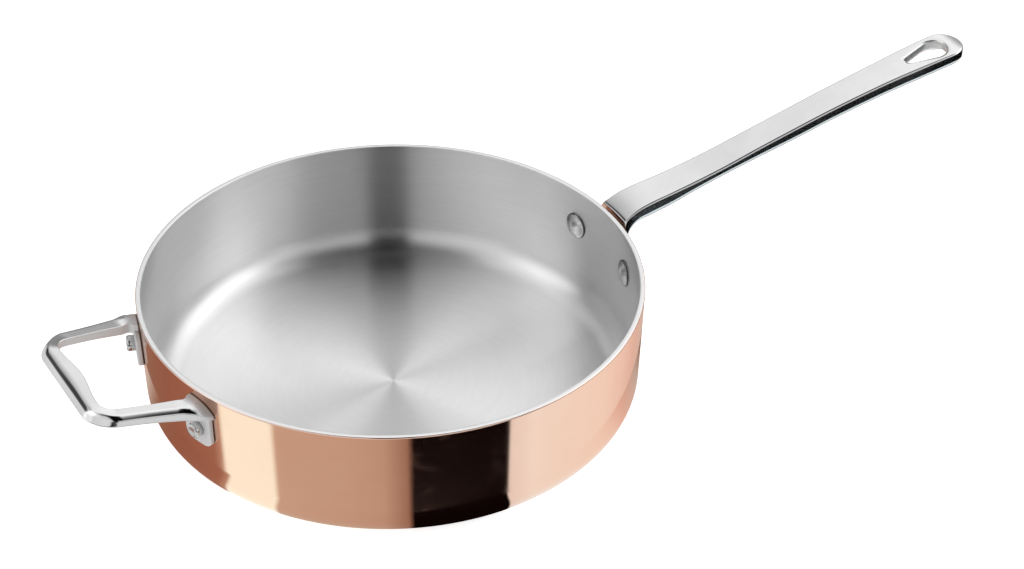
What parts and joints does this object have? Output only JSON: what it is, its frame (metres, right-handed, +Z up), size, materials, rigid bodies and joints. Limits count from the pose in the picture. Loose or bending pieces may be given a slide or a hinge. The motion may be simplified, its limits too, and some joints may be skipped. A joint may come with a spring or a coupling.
{
  "type": "saute pan",
  "caption": "Straight-sided clad saute pan, copper outside and brushed steel inside, with a riveted long handle that has a hang hole and a riveted loop helper handle.",
  "frame": {"origin": "centre of the base's underside", "axes": "+Z up out of the pan's mouth, +X along the long handle, the helper handle at -X"},
  "size_m": [0.5415, 0.2656, 0.114],
  "materials": {
    "copper": "mirror-polished copper",
    "core": "bare aluminium, ground flush at the rim",
    "lining": "brushed stainless steel, grain round the pan's axis",
    "handle": "polished cast stainless steel",
    "rivet": "satin stainless steel"
  },
  "bodies": {
    "root": {"copper_shell": "copper", "aluminium_core": "core", "steel_lining": "lining", "long_handle": "handle", "helper_handle": "handle", "long_handle_rivet_left": "rivet", "long_handle_rivet_right": "rivet", "helper_handle_rivet_left": "rivet", "helper_handle_rivet_right": "rivet"}
  },
  "joints": []
}
